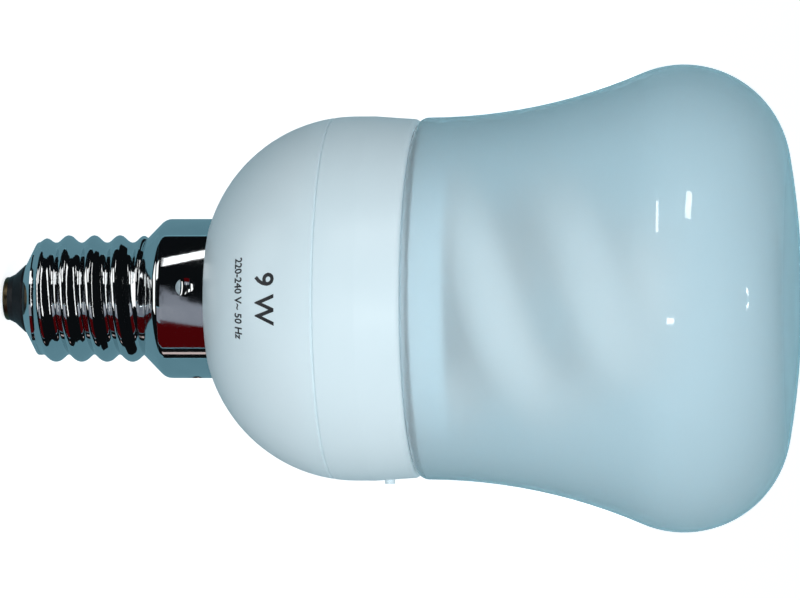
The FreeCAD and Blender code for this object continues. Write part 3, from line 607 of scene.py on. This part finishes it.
# %% Rings on the resistors
RINGS = ((0.20, (0.20, 0.07, 0.02, 1)), (0.38, (0.01, 0.01, 0.01, 1)),
         (0.56, (0.55, 0.03, 0.02, 1)), (0.78, (0.60, 0.42, 0.12, 1)))
RING_WIDTH = 0.09
BODY_START, BODY_END = 0.10, 0.68
low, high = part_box("resistor_1")
length = high.z - low.z
tree = paints["resistor_body"].node_tree
along = object_axis(tree, "Z", low.z + length * BODY_START, low.z + length * BODY_END)
for place, colour in RINGS:
    overlay(tree, calculated(tree, "COMPARE", along, place, RING_WIDTH / 2), colour)
print("rings on a resistor", len(RINGS))

# %% Stripe on the capacitor
STRIPE_SHARE = 0.06
low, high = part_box("smoothing_capacitor")
tree = paints["capacitor_sleeve"].node_tree
across = object_axis(tree, "X", low.x, high.x)
overlay(tree, calculated(tree, "LESS_THAN", across, STRIPE_SHARE), (0.55, 0.58, 0.62, 1))
print("stripe", round((high.x - low.x) * STRIPE_SHARE / MM, 1), "mm deep on the can")

# %% Tracks on the board
TRACK_SCALE = 300
TRACK_GAP = 0.12
SOLDER_SIDE = 0.95
low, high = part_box("circuit_board")
tree = paints["board"].node_tree
where = tree.nodes.new("ShaderNodeTexCoord")
cells = tree.nodes.new("ShaderNodeTexVoronoi")
cells.feature = "DISTANCE_TO_EDGE"
cells.inputs["Scale"].default_value = TRACK_SCALE
tree.links.new(where.outputs["Object"], cells.inputs["Vector"])
track = calculated(tree, "GREATER_THAN", cells.outputs["Distance"], TRACK_GAP)
upper = calculated(tree, "GREATER_THAN", object_axis(tree, "Z", low.z, high.z), SOLDER_SIDE)
overlay(tree, calculated(tree, "MULTIPLY", track, upper), (0.36, 0.27, 0.07, 1))
print("board", round((high.z - low.z) / MM, 1), "mm thick")

# %% [markdown]
# ## Painting the nodes
# The record gives each node a material slot, and each slot has one material
# here, so a node that is added later is painted without a change of this cell.

# %% Give every node its material
for part in frame["record"]["subparts"]:
    node = nodes[part["node"]]
    node.data.materials.clear()
    node.data.materials.append(paints[part["material_slot"]])

# %% [markdown]
# ## Solder joints
# Every lead of the ballast comes through the board and is soldered on top. A
# joint is a small hollow-sided cone that climbs the lead. The frame already
# holds the joints as plain cones, so their places are read from its mesh: one
# island of faces is one joint. Geometry Nodes put a better joint on each.

# %% Places of the joints
DIGITS = 7


def island_boxes(node):
    """Box of each separate piece of a CAD node's mesh: (low, high) corners.

    The mesh is loose triangles, so points that agree to DIGITS places are one.
    """
    mesh = node.data
    owner = list(range(len(mesh.vertices)))
    keys = {}
    for v in mesh.vertices:
        owner[v.index] = keys.setdefault(tuple(round(c, DIGITS) for c in v.co), v.index)

    def root(i):
        while owner[i] != i:
            owner[i] = owner[owner[i]]
            i = owner[i]
        return i

    for edge in mesh.edges:
        a, b = (root(i) for i in edge.vertices)
        owner[a] = b
    groups = {}
    for v in mesh.vertices:
        groups.setdefault(root(v.index), []).append(v.co)
    return [(Vector([min(p[i] for p in ps) for i in range(3)]),
             Vector([max(p[i] for p in ps) for i in range(3)])) for ps in groups.values()]


joint_boxes = island_boxes(nodes["solder_joints"])
joint_feet = [Vector(((a.x + b.x) / 2, (a.y + b.y) / 2, a.z)) for a, b in joint_boxes]
joint_radius = max(b.x - a.x for a, b in joint_boxes) / 2
joint_height = max(b.z - a.z for a, b in joint_boxes)

# %% [markdown]
# ## Bare leads
# A part of the ballast is bought with its leads, so body and leads are one
# node here. Only the body has its coat of lacquer: the wire is tinned. A lead
# stands upright where it goes through its joint, so the faces that lie close
# round a joint's axis are the wire, and they get the second material.

# %% Paint the leads
LEAD_REACH = 0.45 * MM
KINDS_WITH_LEADS = ("smoothing", "transistor", "rectifier", "resonant", "blocking",
                    "ceramic", "trigger", "resistor", "fuse")
for name in (x for x in nodes if x.startswith(KINDS_WITH_LEADS)):
    mesh = nodes[name].data
    mesh.materials.append(paints["tinned_wire"])
    near = [any(math.hypot(v.co.x - p.x, v.co.y - p.y) < LEAD_REACH for p in joint_feet)
            for v in mesh.vertices]
    for face in mesh.polygons:
        if all(near[i] for i in face.vertices):
            face.material_index = 1
    print(name, "lead faces", sum(1 for face in mesh.polygons if face.material_index))

# %% [markdown]
# ## Growing a mesh with Geometry Nodes
# What repeats is made by a node tree with named inputs, so that one value
# changes every copy. The tree runs as a modifier on a small seed mesh. The
# export keeps plain meshes only, so the result is turned into one, and the
# modifier and the seed go.

# %% Geometry Nodes helpers


def new_tree(name, inputs):
    """Geometry node tree with named inputs: returns it, its input and output node."""
    tree = bpy.data.node_groups.new(name, "GeometryNodeTree")
    for side in ("INPUT", "OUTPUT"):
        tree.interface.new_socket(name="Geometry", in_out=side,
                                  socket_type="NodeSocketGeometry")
    for label, kind, value in inputs:
        made = tree.interface.new_socket(name=label, in_out="INPUT",
                                         socket_type="NodeSocket" + kind)
        made.default_value = value
    return tree, tree.nodes.new("NodeGroupInput"), tree.nodes.new("NodeGroupOutput")


def painted_end(tree, geometry, material, result):
    """End of a tree: instances become real faces and get their material."""
    real = tree.nodes.new("GeometryNodeRealizeInstances")
    tree.links.new(geometry, real.inputs[0])
    paint = tree.nodes.new("GeometryNodeSetMaterial")
    paint.inputs["Material"].default_value = material
    tree.links.new(real.outputs[0], paint.inputs["Geometry"])
    tree.links.new(paint.outputs[0], result.inputs["Geometry"])


def grown(name, seed, tree, values):
    """Plain mesh object made by running a node tree on a seed mesh object."""
    modifier = seed.modifiers.new(name, "NODES")
    modifier.node_group = tree
    for item in tree.interface.items_tree:
        if item.item_type == "SOCKET" and item.in_out == "INPUT" and item.name in values:
            modifier[item.identifier] = values[item.name]
    bpy.context.view_layer.update()
    graph = bpy.context.evaluated_depsgraph_get()
    mesh = bpy.data.meshes.new_from_object(seed.evaluated_get(graph))
    mesh.name = name
    seed.modifiers.remove(modifier)
    bpy.data.objects.remove(seed)
    made = bpy.data.objects.new(name, mesh)
    scene.collection.objects.link(made)
    for face in mesh.polygons:
        face.use_smooth = True
    print(name, "faces", len(mesh.polygons))
    return made


print("node trees so far", len(bpy.data.node_groups))

# %% [markdown]
# ## The better joint
# Molten solder climbs the wire and draws in at the middle of its flank. A
# plain cone gets that shape when each of its points moves towards the axis,
# most at half height and not at all at the foot and the neck: the share is
# the level times what is left above it.

# %% Tree of the solder joint
CONE_SIDES, CONE_STEPS = 20, 6
tree, given, result = new_tree("solder_tree", [
    ("Foot Radius", "Float", 0.0006), ("Neck Radius", "Float", 0.0003),
    ("Height", "Float", 0.0007), ("Hollow", "Float", 0.5)])
node, link = tree.nodes.new, tree.links.new
cone = node("GeometryNodeMeshCone")
cone.inputs["Vertices"].default_value = CONE_SIDES
cone.inputs["Side Segments"].default_value = CONE_STEPS
link(given.outputs["Neck Radius"], cone.inputs["Radius Top"])
link(given.outputs["Foot Radius"], cone.inputs["Radius Bottom"])
link(given.outputs["Height"], cone.inputs["Depth"])
place = node("GeometryNodeInputPosition")
split = node("ShaderNodeSeparateXYZ")
link(place.outputs[0], split.inputs[0])
level = calculated(tree, "DIVIDE", split.outputs["Z"], given.outputs["Height"])
bulge = calculated(tree, "MULTIPLY", level, calculated(tree, "SUBTRACT", 1, level))
depth = calculated(tree, "MULTIPLY", bulge, given.outputs["Hollow"])
share = calculated(tree, "SUBTRACT", 1, depth)
shrink = node("ShaderNodeCombineXYZ")
link(share, shrink.inputs["X"])
link(share, shrink.inputs["Y"])
shrink.inputs["Z"].default_value = 1
moved = node("ShaderNodeVectorMath")
moved.operation = "MULTIPLY"
link(place.outputs[0], moved.inputs[0])
link(shrink.outputs[0], moved.inputs[1])
hollow = node("GeometryNodeSetPosition")
link(cone.outputs["Mesh"], hollow.inputs["Geometry"])
link(moved.outputs[0], hollow.inputs["Position"])
copies = node("GeometryNodeInstanceOnPoints")
link(given.outputs["Geometry"], copies.inputs["Points"])
link(hollow.outputs[0], copies.inputs["Instance"])
painted_end(tree, copies.outputs[0], paints["solder"], result)
print("nodes in the tree", len(tree.nodes))

# %% Joints on the board
NECK_SHARE = 0.56
feet = new_object("joint_feet", joint_feet, [])
solder_joints = grown("soldered_joints", feet, tree, {
    "Foot Radius": joint_radius, "Neck Radius": joint_radius * NECK_SHARE,
    "Height": joint_height})
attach(solder_joints, "root")
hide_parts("solder_joints")

# %% [markdown]
# ## Choke winding
# The choke is wound with lacquered wire, one turn beside the next in layers.
# A turn is a rectangle with rounded corners, so one loop of wire is enough:
# Geometry Nodes repeat it along the bobbin, and two smaller loops make the
# layers below, which show between the turns.

# %% Tree of the winding
WIRE = 0.28 * MM
WIRE_SIDES = 10
LAYERS = 3
LAYER_STEP = 1.75
COIL_CORNER, CORNER_STEPS = 1.3 * MM, 6
coil_low, coil_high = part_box("choke_winding")
coil_size = coil_high - coil_low
coil_centre = (coil_low + coil_high) / 2
turns = int(coil_size.z / WIRE)
first_turn = coil_low.z + (coil_size.z - (turns - 1) * WIRE) / 2
tree, given, result = new_tree("winding_tree", [
    ("Wire", "Float", WIRE), ("Turns", "Int", turns), ("Width", "Float", 0.008),
    ("Depth", "Float", 0.007), ("Corner", "Float", COIL_CORNER)])
node, link = tree.nodes.new, tree.links.new
layers = node("GeometryNodeJoinGeometry")
profile = node("GeometryNodeCurvePrimitiveCircle")
profile.inputs["Resolution"].default_value = WIRE_SIDES
link(calculated(tree, "MULTIPLY", given.outputs["Wire"], 0.5), profile.inputs["Radius"])
for layer in range(LAYERS):
    loop = node("GeometryNodeCurvePrimitiveQuadrilateral")
    for side, socket in (("Width", "Width"), ("Depth", "Height")):
        inset = calculated(tree, "MULTIPLY_ADD", given.outputs["Wire"],
                           -1 - LAYER_STEP * layer, given.outputs[side])
        link(inset, loop.inputs[socket])
    rounded = node("GeometryNodeFilletCurve")
    rounded.mode = "POLY"
    rounded.inputs["Count"].default_value = CORNER_STEPS
    link(given.outputs["Corner"], rounded.inputs["Radius"])
    link(loop.outputs[0], rounded.inputs["Curve"])
    wire = node("GeometryNodeCurveToMesh")
    link(rounded.outputs[0], wire.inputs["Curve"])
    link(profile.outputs[0], wire.inputs["Profile Curve"])
    link(wire.outputs[0], layers.inputs[0])
row = node("GeometryNodeMeshLine")
link(given.outputs["Turns"], row.inputs["Count"])
step = node("ShaderNodeCombineXYZ")
link(given.outputs["Wire"], step.inputs["Z"])
link(step.outputs[0], row.inputs["Offset"])
many = node("GeometryNodeInstanceOnPoints")
link(row.outputs[0], many.inputs["Points"])
link(layers.outputs[0], many.inputs["Instance"])
moved = node("GeometryNodeTransform")
moved.inputs["Translation"].default_value = (coil_centre.x, coil_centre.y, first_turn)
link(many.outputs[0], moved.inputs["Geometry"])
painted_end(tree, moved.outputs[0], paints["copper_wire"], result)
print("turns in a layer", turns)

# %% Coil on the bobbin
seed = new_object("coil_seed", [coil_centre], [])
winding = grown("wound_coil", seed, tree, {
    "Turns": turns, "Width": coil_size.x, "Depth": coil_size.y})
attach(winding, "root")
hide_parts("choke_winding")

# %% [markdown]
# ## Rating on the housing
# Such a lamp has its rating printed on the dome by a soft pad, in one black
# colour. The print here is only what every lamp of this kind must say: its
# voltage and its power. Flat letters are made first, and cut into small
# facets that can bend. Then each of their points is set on the dome by a ray
# towards the axis, which wraps the text round the moulding.

# %% Flat letters
INK_DEPTH = 0.02 * MM
INK_STEP = 0.3 * MM
INK_SPREAD = 0.015
LETTER_STEPS = 3
SAME_POINT = 0.001 * MM
finish_material("ink", (0.012, 0.013, 0.016), (0.022, 0.023, 0.027), (0.35, 0.5),
                slow=900, fine=5000, bump=0.1)


def flat_letters(name, text, height):
    """Mesh of a line of text, in facets no longer than the ink step."""
    curve = bpy.data.curves.new(name, "FONT")
    curve.body = text
    curve.size = height
    curve.align_x = "CENTER"
    curve.align_y = "CENTER"
    curve.extrude = INK_DEPTH
    curve.offset = INK_SPREAD * height
    curve.resolution_u = LETTER_STEPS
    flat = bpy.data.objects.new(name + "_flat", curve)
    scene.collection.objects.link(flat)
    bpy.context.view_layer.update()
    graph = bpy.context.evaluated_depsgraph_get()
    mesh = bpy.data.meshes.new_from_object(flat.evaluated_get(graph))
    bpy.data.objects.remove(flat)
    cut = bmesh.new()
    cut.from_mesh(mesh)
    bmesh.ops.remove_doubles(cut, verts=cut.verts, dist=SAME_POINT)
    while long := [e for e in cut.edges if e.calc_length() > INK_STEP]:
        bmesh.ops.subdivide_edges(cut, edges=long, cuts=1)
        bmesh.ops.triangulate(cut, faces=cut.faces)
    gaps = sum(1 for e in cut.edges if not e.is_manifold)
    cut.to_mesh(mesh)
    cut.free()
    print(name, "faces", len(mesh.polygons), "open edges", gaps)
    return mesh


print("ink", INK_DEPTH / MM, "mm thick on each side of its middle")

# %% Letters on the dome
RAY_START = 0.1
dome = nodes["dome_housing"]
dome_tree = BVHTree.FromPolygons([dome.matrix_world @ v.co for v in dome.data.vertices],
                                 [p.vertices[:] for p in dome.data.polygons])


def printed_line(name, text, height, z):
    """Text of a given height, wrapped round the front of the dome."""
    mesh = flat_letters(name, text, height)
    front = dome_tree.ray_cast(Vector((0, -RAY_START, z)), Vector((0, 1, 0)))[0]
    for v in mesh.vertices:
        a = v.co.x / abs(front.y)
        out = Vector((math.sin(a), -math.cos(a), 0))
        start = out * RAY_START + Vector((0, 0, z + v.co.y))
        place, normal = dome_tree.ray_cast(start, -out)[:2]
        v.co = place + normal * (v.co.z + INK_DEPTH * 0.5)
    line = bpy.data.objects.new(name, mesh)
    scene.collection.objects.link(line)
    line.data.materials.clear()
    line.data.materials.append(paints["ink"])
    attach(line, "root")
    print(name, "on the dome at", round(z / MM, 1), "mm")


printed_line("rating_voltage", "220-240 V~ 50 Hz", 1.15 * MM, 28.4 * MM)
printed_line("rating_power", "9 W", 3.0 * MM, 31.4 * MM)
